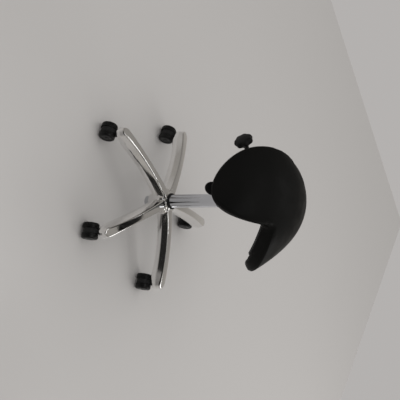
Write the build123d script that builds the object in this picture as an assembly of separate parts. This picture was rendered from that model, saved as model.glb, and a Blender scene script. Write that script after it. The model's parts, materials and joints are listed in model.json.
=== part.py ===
from build123d import *

import math
import os

# Saddle stool on a five-star base with twin-wheel casters.
# Millimetres, +Z up. The origin is on the floor under the column axis.
# The front of the seat faces -Y, and the sitter's right side is -X.

# ---- driving dimensions ---------------------------------------------------------------
# base casting
ARM_COUNT = 5
FIRST_ARM_DEG = 175.9          # direction of the first arm
STEM_CIRCLE = 315.5            # column axis to caster stem
ARM_NOSE_R = 23.0              # rounded arm end
ARM_WAIST_HALF = 17.5          # half width at mid arm
ARM_ROOT_HALF = 21.0           # half width where the arm leaves the hub
HUB_FLAT_R = 34.0              # flat top of the hub
HUB_TOP_Z = 158.0
HUB_BOTTOM_Z = 70.0
HUB_RING_R = 30.5              # black ring on the hub
HUB_RING_HIGH = 6.5
WEB_FILLET = 17.0              # concave corner between two arms
TIP_UNDER_Z = 68.5             # underside of the arm ends
ARM_TOP_Z = (152.0, 139.0, 96.0)        # arm top at the hub, 185 mm out and past the end
ARM_LOW_Z = (104.0, 99.0, TIP_UNDER_Z)  # arm underside at the hub, 165 mm out and at the end
CASTING_WALL = 5.0
ARM_TOP_ROUND = 12.0           # rounded shoulders of the arms
HUB_BOSS_R = 32.0
SOCKET_BOSS_R = 13.0
SOCKET_TOP_Z = 92.0
# column
TUBE_R = 25.0
TUBE_WALL = 1.8
TUBE_BOTTOM_Z = 46.0
TUBE_FOOT_R = 22.2             # bottom of the tapered foot
TUBE_TOP_Z = 370.0
CYLINDER_R = 14.0
CYLINDER_BOTTOM_Z = 215.0
CONE_Z = (518.0, 562.0)        # tapered top of the pressure cylinder
CONE_TOP_R = 12.9
ROD_R = 5.0
ROD_Z = (40.5, 318.0)
FIT = 0.05                     # radial clearance of a running fit
GAP = 0.3                      # free gap between parts that pass each other
PIN_R = 3.0
PIN_Z = (528.0, 570.0)
# tilt mechanism, in the YZ plane
PIVOT_Y, PIVOT_Z = 30.0, 576.0
CLAMP_Y, CLAMP_Z = 87.0, 516.0
CHEEK_X = (52.0, 55.0)         # inner and outer face of the housing sides
EAR_X = (46.5, 49.5)           # inner and outer face of the seat plate ears
FLOOR_Z = (530.0, 533.0)       # bottom plate of the housing
PLATE_Z = (594.0, 597.0)       # seat plate
PLATE_X = 50.0
PLATE_Y = (-60.0, 80.0)
TILT_DEG = (-4.0, 6.0)
KNOB_X = -200.0                # centre of the star knob
KNOB_R = 33.0
KNOB_LOBES = 7
KNOB_THICK = 24.0
# height lever
LEVER_DEG = 214.2              # direction in which the lever leaves the column
LEVER_PIVOT_U = 38.0
LEVER_Z = PIN_Z[1] + GAP + 4.0
LEVER_R = 4.0
PADDLE_U, PADDLE_Z = 169.0, 447.0
PADDLE_SLOPE_DEG = 30.0
# saddle
OUTLINE_RADII = (115.0, 184.0, 282.0, 298.0, 235.0, 197.0, 174.0)  # front to rear, every 30 deg
OUTLINE_CENTRE_Y = -38.5
SPINE_Z = 681.0
SPINE_LINEAR, SPINE_SQUARE, SPINE_CUBE = 11.0, -65.0, -13.0  # rise at 200 mm behind the centre
ROLL_R, ROLL_TAPER = 263.0, 0.32  # roll radius of the flaps, wider to the rear
PAD_THICK, PAD_THIN = 59.0, 15.0   # thickness on the spine, and loss at the flap ends
PAD_EDGE = 12.0
SHELL_THICK = 7.5
SHELL_GAP = 1.0                # glue line between the pad and the shell
BOSS_SINK = 1.2                # how far the bosses end below the shell's underside at their centre
PAD_SHARES = (0.15, 0.3, 0.45, 0.6, 0.75, 0.93)  # rings of the pad, shared with the shell
RING_POINTS = 36
SEAT_BOLTS_X, SEAT_BOLTS_Y = 36.0, (-44.0, 66.0)
# caster, in its own frame: stem on Z, wheel axle along Y
TRAIL = 20.0
TRAIL_DEG = (203.0, 215.0, 211.0, 208.0, 198.0)  # where each caster trails at rest
WHEEL_R = 30.0
WHEEL_WIDTH = 20.0
WHEEL_INNER_Y = 9.5
STEM_R = 5.5


def at(x=0.0, y=0.0, z=0.0):
    return Location((x, y, z))


def tube(outer, inner, low, high):
    """Upright ring on the Z axis between two heights."""
    height = high - low
    ring = Cylinder(outer, height, align=(Align.CENTER, Align.CENTER, Align.MIN))
    if inner:
        ring -= Cylinder(inner, height, align=(Align.CENTER, Align.CENTER, Align.MIN))
    return at(z=low) * ring


def revolved(points):
    """Solid of revolution about Z from an outline in the XZ plane."""
    return revolve(Plane.XZ * make_face(Polyline(*points, close=True)), Axis.Z)


def bar_x(radius, low, high, y, z):
    """Round bar along X between two X positions."""
    bar = Cylinder(radius, high - low, align=(Align.CENTER, Align.CENTER, Align.MIN))
    return Location((low, y, z), (0, 90, 0)) * bar


def bar_y(radius, low, high):
    """Round bar along Y between two Y positions, on the origin's axis."""
    bar = Cylinder(radius, high - low, align=(Align.CENTER, Align.CENTER, Align.MIN))
    return Location((0, low, 0), (-90, 0, 0)) * bar


def save(name, shape):
    shape.label = name
    export_step(shape, f"parts/{name}.step")


# ---- base -----------------------------------------------------------------------------
def stem_places():
    """Stem axis positions on the arm ends."""
    step = 360.0 / ARM_COUNT
    angles = [math.radians(FIRST_ARM_DEG + step * i) for i in range(ARM_COUNT)]
    return [(STEM_CIRCLE * math.cos(a), STEM_CIRCLE * math.sin(a)) for a in angles]


def star_face(inset=0.0):
    """Plan of the whole star: waisted arms with round ends and round webs between them."""
    half_step = math.radians(180.0 / ARM_COUNT)
    web_centre = (ARM_ROOT_HALF + WEB_FILLET) / math.sin(half_step)
    root_u = web_centre * math.cos(half_step)
    web_r = WEB_FILLET + inset
    nose = ARM_NOSE_R - inset
    edges = Curve()
    for i in range(ARM_COUNT):
        turn = Rot(0, 0, FIRST_ARM_DEG + 360.0 / ARM_COUNT * i)
        root, waist = ARM_ROOT_HALF - inset, ARM_WAIST_HALF - inset
        middle_u = (root_u + STEM_CIRCLE) / 2
        left = ThreePointArc((root_u, root), (middle_u, waist), (STEM_CIRCLE, nose))
        end = ThreePointArc((STEM_CIRCLE, nose), (STEM_CIRCLE + nose, 0), (STEM_CIRCLE, -nose))
        right = ThreePointArc((STEM_CIRCLE, -nose), (middle_u, -waist), (root_u, -root))
        mid = (web_centre - web_r, 0)
        corner = (web_centre - web_r * math.sin(half_step), web_r * math.cos(half_step))
        web = Rot(0, 0, 180.0 / ARM_COUNT) * ThreePointArc(corner, mid, (corner[0], -corner[1]))
        edges += [turn * left, turn * end, turn * right, turn * web]
    return make_face(edges)


def side_profile(lift_top, drop_bottom):
    """Arched side outline of the arms turned about the column, with top and underside moved."""
    outer = STEM_CIRCLE + ARM_NOSE_R + 10.0
    tip_start = STEM_CIRCLE - 34.0
    root_top, mid_top, tip_top = (z + lift_top for z in ARM_TOP_Z)
    root_low, mid_low, tip_low = (z - drop_bottom for z in ARM_LOW_Z)
    over = ThreePointArc((HUB_FLAT_R, root_top), (185, mid_top), (outer, tip_top))
    end = Polyline((outer, tip_top), (outer, tip_low), (tip_start, tip_low))
    under = ThreePointArc((tip_start, tip_low), (165, mid_low), (HUB_FLAT_R, root_low))
    core = Polyline((HUB_FLAT_R, root_low), (0, root_low), (0, root_top), (HUB_FLAT_R, root_top))
    return revolve(Plane.XZ * make_face(Curve() + [over, end, under, core]), Axis.Z)


def foot_radius(z):
    """Radius of the tapered foot of the column tube."""
    share = (z - TUBE_BOTTOM_Z) / (HUB_TOP_Z - TUBE_BOTTOM_Z)
    return TUBE_FOOT_R + (TUBE_R - TUBE_FOOT_R) * min(share, 1.0)


def top_outline_edges(body):
    """Outer edges of the arched top skin, without the hub circle and the seam."""
    edges = []
    for face in body.faces():
        if face.normal_at().Z < 0.3:
            continue
        for edge in face.edges():
            middle = edge.position_at(0.5)
            if math.hypot(middle.X, middle.Y) > HUB_FLAT_R + 4.0 and edge.geom_type != GeomType.CIRCLE:
                edges.append(edge)
    return edges


def base_star():
    """Polished casting: five arched hollow arms, hub with a taper bore, stem sockets."""
    body = extrude(star_face(), 200.0) & side_profile(0, 0)
    body = fillet(top_outline_edges(body), ARM_TOP_ROUND)
    hollow = extrude(star_face(CASTING_WALL), 200.0) & side_profile(-7.0, 80.0)
    hollow -= tube(HUB_BOSS_R, 0, 0, 200.0)
    for x, y in stem_places():
        hollow -= at(x, y) * tube(SOCKET_BOSS_R, 0, 0, 200.0)
    body -= hollow
    body += revolved([(0, HUB_BOTTOM_Z), (HUB_BOSS_R - 2, HUB_BOTTOM_Z), (HUB_BOSS_R, HUB_BOTTOM_Z + 2),
                      (HUB_BOSS_R, HUB_TOP_Z - 10), (HUB_BOSS_R - 2, HUB_TOP_Z), (0, HUB_TOP_Z)])
    low_r = foot_radius(HUB_BOTTOM_Z - 1) + 0.02
    body -= revolved([(0, HUB_BOTTOM_Z - 1), (low_r, HUB_BOTTOM_Z - 1), (TUBE_R + 0.02, HUB_TOP_Z),
                      (TUBE_R + 0.02, HUB_TOP_Z + 1), (0, HUB_TOP_Z + 1)])
    for x, y in stem_places():
        body -= at(x, y) * tube(STEM_R + 0.25, 0, 0, SOCKET_TOP_Z)
    return body


# ---- column ---------------------------------------------------------------------------
def column_tube():
    """Chromed outer tube with a tapered foot and a closed bottom."""
    foot = foot_radius(TUBE_BOTTOM_Z)
    outer = revolved([(0, TUBE_BOTTOM_Z), (foot - 1.5, TUBE_BOTTOM_Z), (foot, TUBE_BOTTOM_Z + 1.5),
                      (TUBE_R, HUB_TOP_Z), (TUBE_R, TUBE_TOP_Z), (0, TUBE_TOP_Z)])
    inner = revolved([(0, TUBE_BOTTOM_Z + 3), (foot - TUBE_WALL, TUBE_BOTTOM_Z + 3),
                      (TUBE_R - TUBE_WALL, HUB_TOP_Z), (TUBE_R - TUBE_WALL, TUBE_TOP_Z + 1),
                      (0, TUBE_TOP_Z + 1)])
    return outer - inner - tube(ROD_R + GAP, 0, TUBE_BOTTOM_Z - 1, TUBE_BOTTOM_Z + 4)


def hub_ring():
    """Black ring around the tube on top of the hub."""
    low, high = HUB_TOP_Z + 0.05, HUB_TOP_Z + HUB_RING_HIGH
    return revolved([(TUBE_R + 0.05, low), (HUB_RING_R, low), (HUB_RING_R, high - 2.0),
                     (HUB_RING_R - 1.5, high), (TUBE_R + 0.05, high)])


def guide_bushing():
    """Plastic bush in the top of the outer tube that guides the pressure cylinder."""
    bush = tube(TUBE_R - TUBE_WALL - 0.03, 0, TUBE_TOP_Z - 85.0, TUBE_TOP_Z)
    bush += tube(TUBE_R, 0, TUBE_TOP_Z, TUBE_TOP_Z + 3.0)
    return bush - tube(CYLINDER_R + FIT, 0, TUBE_TOP_Z - 90.0, TUBE_TOP_Z + 5.0)


def piston_rod():
    rod = tube(ROD_R, 0, *ROD_Z)
    groove = tube(ROD_R + 1, ROD_R - 1.0, 42.7, 44.3)
    return rod - groove


def rod_clip():
    """Spring clip in the rod's groove, under the tube."""
    clip = tube(9.0, ROD_R - 0.95, 42.8, 44.2)
    slot = at(8, 0, 43.5) * Box(16, 6.0, 4)
    return clip - slot


def piston():
    body = tube(12.25, ROD_R + 0.02, 303.0, 315.0)
    return body - tube(13.0, 11.0, 307.5, 310.5)


def bearing_washers():
    low = tube(13.0, ROD_R + 0.1, 49.4, 50.8)
    high = tube(13.0, ROD_R + 0.1, 54.2, 55.6)
    return Compound(children=[low, high])


def bearing_balls():
    balls = []
    for i in range(8):
        angle = math.radians(45.0 * i)
        balls.append(at(9.0 * math.cos(angle), 9.0 * math.sin(angle), 52.5) * Sphere(1.65))
    return Compound(children=balls)


def bearing_cage():
    cage = tube(12.4, ROD_R + 0.3, 51.6, 53.4)
    for i in range(8):
        angle = math.radians(45.0 * i)
        hole = tube(1.75, 0, 51.0, 54.0)
        cage -= at(9.0 * math.cos(angle), 9.0 * math.sin(angle), 0) * hole
    return cage


def bump_buffer():
    """Rubber buffer on the rod, over the bearing."""
    return revolved([(ROD_R + 0.1, 55.7), (13.0, 55.7), (13.0, 74.0), (10.5, 80.0), (ROD_R + 0.1, 80.0)])


def pressure_cylinder():
    """Sliding tube with a tapered closed top and a hole for the release pin."""
    outer = revolved([(0, CYLINDER_BOTTOM_Z), (CYLINDER_R, CYLINDER_BOTTOM_Z), (CYLINDER_R, CONE_Z[0]),
                      (CONE_TOP_R, CONE_Z[1]), (0, CONE_Z[1])])
    inner = tube(12.3, 0, CYLINDER_BOTTOM_Z - 1, 540.0)
    return outer - inner - tube(PIN_R + FIT, 0, 535.0, 565.0)


def cylinder_seal():
    """Rod guide and seal at the bottom of the pressure cylinder."""
    return tube(12.28, ROD_R + FIT, 216.0, 235.0)


def valve_body():
    body = tube(12.28, 0, 495.0, 538.0)
    return body - tube(3.6, 0, 518.0, 540.0)


def release_pin():
    pin = tube(PIN_R, 0, *PIN_Z)
    return chamfer(pin.edges().sort_by(Axis.Z)[-1], 1.4)


# ---- mechanism ------------------------------------------------------------------------
def plate_yz(face, low, high):
    """Plate of a YZ outline between two X positions."""
    return at(x=low) * extrude(Plane.YZ * face, high - low)


def cheek_face():
    """Side of the mechanism housing."""
    pivot_top = PIVOT_Z + 13.0
    outline = Polyline((-62, FLOOR_Z[0]), (-62, 556), (-12, 560), (10, 586), (18, pivot_top),
                       (42, pivot_top), (52, 586), (CLAMP_Y + 20, CLAMP_Z + 12),
                       (CLAMP_Y + 20, CLAMP_Z - 10), (CLAMP_Y + 10, CLAMP_Z - 19),
                       (CLAMP_Y - 14, CLAMP_Z - 19), (50, FLOOR_Z[0]), close=True)
    face = make_face(outline)
    face -= Pos(PIVOT_Y, PIVOT_Z) * Circle(6.02)
    face -= Pos(CLAMP_Y, CLAMP_Z) * Circle(5.4)
    return face


def mechanism_housing():
    """Pressed steel tray: two cheeks, bottom plate and front wall."""
    cheek = cheek_face()
    floor = Box(2 * CHEEK_X[1], 96, 3, align=(Align.CENTER, Align.MIN, Align.MIN))
    body = at(0, -62, FLOOR_Z[0]) * floor
    wall = Box(2 * CHEEK_X[1], 3, 26, align=(Align.CENTER, Align.MIN, Align.MIN))
    body += at(0, -62, FLOOR_Z[0]) * wall
    body += plate_yz(cheek, CHEEK_X[0], CHEEK_X[1])
    body += plate_yz(cheek, -CHEEK_X[1], -CHEEK_X[0])
    return body - tube(19.02, 0, FLOOR_Z[0] - 1, FLOOR_Z[1] + 1)


def taper_socket():
    """Welded sleeve that grips the tapered top of the cylinder."""
    sleeve = tube(19.0, 0, CONE_Z[0] - 2.0, CONE_Z[1] - 2.0)
    slope = (CYLINDER_R - CONE_TOP_R) / (CONE_Z[1] - CONE_Z[0])
    wide = CYLINDER_R + 0.02
    narrow = wide - slope * (CONE_Z[1] - CONE_Z[0] - 1.0)
    bore = revolved([(0, CONE_Z[0] - 3), (wide, CONE_Z[0] - 3), (wide, CONE_Z[0]),
                     (narrow, CONE_Z[1] - 1.0), (0, CONE_Z[1] - 1.0)])
    return sleeve - bore


def tilt_pivot_shaft():
    shaft = bar_x(6.0, -CHEEK_X[1] - 4.5, CHEEK_X[1] + 4.5, PIVOT_Y, PIVOT_Z)
    for side in (-1, 1):
        x = side * (CHEEK_X[1] + 2.0)
        ring = bar_x(7.0, x - 0.7, x + 0.7, PIVOT_Y, PIVOT_Z) - bar_x(5.0, x - 0.7, x + 0.7, PIVOT_Y, PIVOT_Z)
        shaft -= ring
    return shaft


def pivot_clips():
    """Snap rings in the grooves of the pivot shaft."""
    clips = []
    for side in (-1, 1):
        x = side * (CHEEK_X[1] + 2.0)
        ring = bar_x(9.0, x - 0.6, x + 0.6, PIVOT_Y, PIVOT_Z)
        ring -= bar_x(5.05, x - 0.6, x + 0.6, PIVOT_Y, PIVOT_Z)
        ring -= at(x, PIVOT_Y, PIVOT_Z - 7) * Box(4, 6, 14)
        clips.append(ring)
    return Compound(children=clips)


def lever_frame(shape):
    """Place a shape drawn with the lever along +X at the lever's own direction."""
    return Rot(0, 0, LEVER_DEG) * shape


def lever_bracket():
    """U bracket on the bottom plate that carries the lever pin."""
    u = LEVER_PIVOT_U
    foot = at(u, 0, FLOOR_Z[1]) * Box(24, 27, 3, align=(Align.CENTER, Align.CENTER, Align.MIN))
    outline = Polyline((u - 12, FLOOR_Z[1]), (u + 12, FLOOR_Z[1]), (u + 7, LEVER_Z + 7),
                       (u - 7, LEVER_Z + 7), close=True)
    ear = extrude(Plane.XZ * make_face(outline), 2.5)
    bracket = foot + at(y=13.5) * ear + at(y=-11.0) * ear
    hole = at(u, 0, LEVER_Z) * bar_y(3.02, -20, 20)
    return lever_frame(bracket - hole)


def lever_pivot_pin():
    pin = at(LEVER_PIVOT_U, 0, LEVER_Z) * bar_y(3.0, -15.5, 15.5)
    head = at(LEVER_PIVOT_U, 0, LEVER_Z) * bar_y(5.0, 13.8, 15.8)
    return lever_frame(pin + head)


def paddle_spot(along):
    """Point on the lever's last straight stretch, measured outwards from the paddle's centre."""
    slope = math.radians(PADDLE_SLOPE_DEG)
    return (PADDLE_U + along * math.cos(slope), 0, PADDLE_Z - along * math.sin(slope))


def paddle_bar(radius, start, length):
    """Round bar along the lever's last stretch."""
    bar = Cylinder(radius, length, align=(Align.CENTER, Align.CENTER, Align.MIN))
    return Location(paddle_spot(start), (0, 90 + PADDLE_SLOPE_DEG, 0)) * bar


def height_lever():
    """Bent steel rod from over the release pin to the paddle, with its pivot hub."""
    path = FilletPolyline((-6, 0, LEVER_Z), (72, 0, LEVER_Z), paddle_spot(-37), paddle_spot(5), radius=14)
    section = Plane((-6, 0, LEVER_Z), z_dir=(1, 0, 0)) * Circle(LEVER_R)
    rod = sweep(section, path)
    hub = at(LEVER_PIVOT_U, 0, LEVER_Z) * bar_y(7.0, -10.5, 10.5)
    hole = at(LEVER_PIVOT_U, 0, LEVER_Z) * bar_y(3.0 + FIT, -20, 20)
    return lever_frame(rod + hub - hole)


def lever_paddle():
    """Oval finger plate moulded on the end of the lever."""
    plate = extrude(Ellipse(29, 23.5), 10)
    plate = fillet(plate.edges(), 4.2)
    plate = Location(paddle_spot(0), (0, PADDLE_SLOPE_DEG, 0)) * (at(z=-5) * plate)
    neck = paddle_bar(6.5, -30, 26)
    return lever_frame(plate + neck - paddle_bar(LEVER_R + 0.03, -31, 36.1))


def star_knob():
    """Lobed grip with a neck towards the seat, threaded on the clamp spindle."""
    disc = Circle(KNOB_R - 5.0)
    for i in range(KNOB_LOBES):
        angle = math.radians(360.0 / KNOB_LOBES * i)
        centre = Pos((KNOB_R - 8.5) * math.cos(angle), (KNOB_R - 8.5) * math.sin(angle))
        disc += centre * Circle(8.5)
    grip = extrude(disc, KNOB_THICK)
    grip = fillet(grip.faces().sort_by(Axis.Z)[-1].edges(), 3.5)
    grip = fillet(grip.faces().sort_by(Axis.Z)[0].edges(), 2.0)
    neck = at(z=-9) * Cylinder(11.5, 10, align=(Align.CENTER, Align.CENTER, Align.MIN))
    grip += neck
    bore = at(z=-10) * Cylinder(7.02, 22, align=(Align.CENTER, Align.CENTER, Align.MIN))
    start = Location((KNOB_X + KNOB_THICK / 2, CLAMP_Y, CLAMP_Z), (0, -90, 0))
    return start * (grip - bore)


def knob_insert():
    """Brass sleeve moulded in the knob."""
    x = KNOB_X + KNOB_THICK / 2
    outer = bar_x(7.0, x - 12.0, x + 9.0, CLAMP_Y, CLAMP_Z)
    return outer - bar_x(5.02, x - 12.0, x + 9.0, CLAMP_Y, CLAMP_Z)


def clamp_spindle():
    return bar_x(5.0, KNOB_X + KNOB_THICK / 2 - 11.5, CHEEK_X[1] + 14.0, CLAMP_Y, CLAMP_Z)


def spacer_tube():
    """Tube that passes the knob's clamping force to the housing."""
    low, high = KNOB_X + KNOB_THICK / 2 + 9.3, -CHEEK_X[1] - 0.02
    return bar_x(8.5, low, high, CLAMP_Y, CLAMP_Z) - bar_x(5.4, low, high, CLAMP_Y, CLAMP_Z)


def clamp_nut():
    """Welded nut that the spindle screws into."""
    nut = Location((CHEEK_X[1] + 0.02, CLAMP_Y, CLAMP_Z), (0, 90, 0)) * extrude(RegularPolygon(9.8, 6), 9)
    return nut - bar_x(5.0 + FIT, CHEEK_X[1] - 1, CHEEK_X[1] + 12, CLAMP_Y, CLAMP_Z)


# ---- seat -----------------------------------------------------------------------------
def quadrant_face():
    """Ear of the seat plate: pivot eye, web to the plate and slotted clamp sector."""
    radius = math.hypot(CLAMP_Y - PIVOT_Y, CLAMP_Z - PIVOT_Z)
    middle = math.degrees(math.atan2(CLAMP_Z - PIVOT_Z, CLAMP_Y - PIVOT_Y))
    slot_low, slot_high = middle - TILT_DEG[1] - 1.0, middle - TILT_DEG[0] + 1.0

    def spot(r, degrees):
        a = math.radians(degrees)
        return (PIVOT_Y + r * math.cos(a), PIVOT_Z + r * math.sin(a))

    low, high = slot_low - 8.5, slot_high + 8.5
    mid = (low + high) / 2
    rim = ThreePointArc(spot(radius + 13, low), spot(radius + 13, mid), spot(radius + 13, high))
    sides = Polyline(spot(radius + 13, high), spot(12, high + 60), spot(12, low - 60),
                     spot(radius + 13, low))
    face = make_face(Curve() + [rim, sides])
    face += Pos(PIVOT_Y, PIVOT_Z) * Circle(14)
    face += Pos(PIVOT_Y, (PIVOT_Z + PLATE_Z[0]) / 2) * Rectangle(44, PLATE_Z[0] - PIVOT_Z + 0.5)
    half = 5.0 + 0.35
    inner = ThreePointArc(spot(radius - half, slot_low), spot(radius - half, (slot_low + slot_high) / 2),
                          spot(radius - half, slot_high))
    outer = ThreePointArc(spot(radius + half, slot_high), spot(radius + half, (slot_low + slot_high) / 2),
                          spot(radius + half, slot_low))
    caps = [Line(spot(radius - half, slot_high), spot(radius + half, slot_high)),
            Line(spot(radius + half, slot_low), spot(radius - half, slot_low))]
    slot = make_face(Curve() + [inner, caps[0], outer, caps[1]])
    for end in (slot_low, slot_high):
        slot += Pos(*spot(radius, end)) * Circle(half)
    face -= slot
    face -= Pos(PIVOT_Y, PIVOT_Z) * Circle(8.0)
    return face


def seat_plate():
    """Steel plate under the shell, with two ears that turn on the pivot shaft."""
    middle_y = (PLATE_Y[0] + PLATE_Y[1]) / 2
    plan = Pos(0, middle_y) * RectangleRounded(2 * PLATE_X, PLATE_Y[1] - PLATE_Y[0], 14)
    for x in (-SEAT_BOLTS_X, SEAT_BOLTS_X):
        for y in SEAT_BOLTS_Y:
            plan -= Pos(x, y) * Circle(3.3)
    plate = at(z=PLATE_Z[0]) * extrude(plan, PLATE_Z[1] - PLATE_Z[0])
    ear = quadrant_face()
    plate += plate_yz(ear, EAR_X[0], EAR_X[1])
    plate += plate_yz(ear, -EAR_X[1], -EAR_X[0])
    return plate


def pivot_bushes():
    """Flanged nylon bushes between the ears and the pivot shaft."""
    bushes = []
    for side in (-1, 1):
        low, high = sorted((side * EAR_X[0], side * EAR_X[1]))
        flange_low, flange_high = sorted((side * (EAR_X[1] + 0.02), side * (EAR_X[1] + 1.8)))
        bush = bar_x(7.98, low, high, PIVOT_Y, PIVOT_Z)
        bush += bar_x(11.0, flange_low, flange_high, PIVOT_Y, PIVOT_Z)
        bush += bar_x(7.98, min(low, flange_low), max(high, flange_high), PIVOT_Y, PIVOT_Z)
        bushes.append(bush - bar_x(6.0 + FIT, -60, 60, PIVOT_Y, PIVOT_Z))
    return Compound(children=bushes)


def outline_radius(theta):
    """Cosine series through the outline radii, theta from the front (0) to the rear (pi)."""
    last = len(OUTLINE_RADII) - 1
    total = 0.0
    for k in range(last + 1):
        term = 0.0
        for j, radius in enumerate(OUTLINE_RADII):
            weight = 0.5 if j in (0, last) else 1.0
            term += weight * radius * math.cos(math.pi * j * k / last)
        total += (0.5 if k in (0, last) else 1.0) * term * math.cos(k * theta)
    return total * 2.0 / last


def saddle_top(across, along):
    """Point of the seat's top skin: across is the arc length from the spine."""
    t = along / 200.0
    spine = SPINE_Z + SPINE_LINEAR * t + SPINE_SQUARE * t * t + SPINE_CUBE * t ** 3
    roll = ROLL_R * (1.0 + ROLL_TAPER * t)
    return Vector(roll * math.sin(across / roll), along, spine - roll * (1.0 - math.cos(across / roll)))


def saddle_point(across, along, depth):
    """Point at a depth under the top skin, along the skin's normal."""
    right = saddle_top(across + 1, along) - saddle_top(across - 1, along)
    back = saddle_top(across, along + 1) - saddle_top(across, along - 1)
    return saddle_top(across, along) - right.cross(back).normalized() * depth


def pad_thickness(across):
    return PAD_THICK - PAD_THIN * (across / max(OUTLINE_RADII)) ** 2


def saddle_ring(share, inset, depth_share, extra=0.0):
    """Closed curve around the saddle: share of the outline, inset, and depth in thicknesses."""
    points = []
    for i in range(RING_POINTS):
        theta = 2.0 * math.pi * i / RING_POINTS
        radius = max(outline_radius(theta) - inset, 8.0) * share
        across = radius * math.sin(theta)
        along = OUTLINE_CENTRE_Y - radius * math.cos(theta)
        depth = pad_thickness(across) * depth_share + extra
        points.append(saddle_point(across, along, depth))
    return Wire([Edge.make_spline(points, periodic=True)])


def saddle_pole(depth_share, extra=0.0):
    return Vertex(*saddle_point(0, OUTLINE_CENTRE_Y, PAD_THICK * depth_share + extra))


def seat_cushion():
    """Foam pad and its cover as one closed saddle."""
    rings = [saddle_pole(0.0)]
    rings += [saddle_ring(share, PAD_EDGE, 0.0) for share in PAD_SHARES]
    rings += [saddle_ring(1.0, PAD_EDGE, 0.0), saddle_ring(1.0, PAD_EDGE * 0.3, 0.07),
              saddle_ring(1.0, 0.0, 0.3), saddle_ring(1.0, 0.0, 0.65),
              saddle_ring(1.0, PAD_EDGE * 0.35, 0.93), saddle_ring(1.0, PAD_EDGE, 1.0)]
    rings += [saddle_ring(share, PAD_EDGE, 1.0) for share in reversed(PAD_SHARES)]
    rings += [saddle_pole(1.0)]
    return Solid.make_loft(rings, ruled=True)


def seat_shell():
    """Moulded shell under the pad, with four bosses down to the seat plate."""
    top, bottom = SHELL_GAP, SHELL_THICK + SHELL_GAP
    rings = [saddle_pole(1.0, top)]
    rings += [saddle_ring(share, PAD_EDGE, 1.0, top) for share in PAD_SHARES]
    rings += [saddle_ring(share, PAD_EDGE + 2.5, 1.0, bottom) for share in reversed(PAD_SHARES)]
    rings += [saddle_pole(1.0, bottom)]
    shell = Solid.make_loft(rings, ruled=True)
    for x in (-SEAT_BOLTS_X, SEAT_BOLTS_X):
        for y in SEAT_BOLTS_Y:
            shell += at(x, y) * tube(11.0, 0, PLATE_Z[1] + 0.02, boss_top(x, y))
            shell -= at(x, y) * tube(4.52, 0, PLATE_Z[1] - 1, PLATE_Z[1] + 12.5)
    return shell


def boss_top(x, y):
    """Height at which a boss ends inside the shell's thickness, clear of the pad all round."""
    return saddle_point(abs(x), y, pad_thickness(x) + SHELL_THICK).Z - BOSS_SINK


def shell_inserts():
    """Threaded inserts in the shell's bosses."""
    inserts = [at(x, y) * tube(4.5, 3.05, PLATE_Z[1] + 0.1, PLATE_Z[1] + 12.1)
               for x in (-SEAT_BOLTS_X, SEAT_BOLTS_X) for y in SEAT_BOLTS_Y]
    return Compound(children=inserts)


def seat_bolts():
    """Hexagon bolts from below through the seat plate."""
    bolts = []
    for x in (-SEAT_BOLTS_X, SEAT_BOLTS_X):
        for y in SEAT_BOLTS_Y:
            head = at(z=PLATE_Z[0] - 5.6) * extrude(RegularPolygon(5.7, 6), 4.0)
            shank = tube(3.0, 0, PLATE_Z[0] - 2.0, PLATE_Z[1] + 11.5)
            bolts.append(at(x, y) * (head + shank))
    return Compound(children=bolts)


def bolt_washers():
    washers = [at(x, y) * tube(6.4, 3.2, PLATE_Z[0] - 1.5, PLATE_Z[0] - 0.05)
               for x in (-SEAT_BOLTS_X, SEAT_BOLTS_X) for y in SEAT_BOLTS_Y]
    return Compound(children=washers)


# ---- casters --------------------------------------------------------------------------
def caster_stems():
    """Steel stems pressed into the arm ends, one per arm."""
    stem = revolved([(0, 42.0), (STEM_R, 42.0), (STEM_R, 63.0), (8.5, 63.0), (8.5, TIP_UNDER_Z - 0.05),
                     (STEM_R, TIP_UNDER_Z - 0.05), (STEM_R, 80.0), (STEM_R - 0.8, 80.0),
                     (STEM_R - 0.8, 82.0), (STEM_R, 82.0), (STEM_R, 90.0), (STEM_R - 1.2, 91.2),
                     (0, 91.2)])
    return Compound(children=[at(x, y) * stem for x, y in stem_places()])


def grip_rings():
    """Spring rings that hold the stems in their sockets."""
    ring = tube(STEM_R + 0.2, STEM_R - 0.75, 80.2, 81.8) - at(6, 0, 81) * Box(6, 2.5, 4)
    return Compound(children=[at(x, y) * ring for x, y in stem_places()])


def caster_housing():
    """Web between the wheels with the stem socket and a low hood."""
    web = Location((TRAIL, 0, WHEEL_R), (90, 0, 0)) * Cylinder(26.5, 17.0)
    outline = Polyline((-10.5, 40), (-10.5, 62.5), (8.0, 62.5), (TRAIL + 14, 54), (TRAIL, WHEEL_R),
                       (-4, 33), close=True)
    block = at(y=8.5) * extrude(Plane.XZ * make_face(outline), 17.0)
    body = web + block
    body = body - tube(STEM_R + FIT, 0, 41.7, 80.0)
    axle_hole = at(TRAIL, 0, WHEEL_R) * bar_y(4.02, -20, 20)
    return body - axle_hole


def caster_axle():
    return at(TRAIL, 0, WHEEL_R) * bar_y(4.0, -24.0, 24.0)


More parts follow.
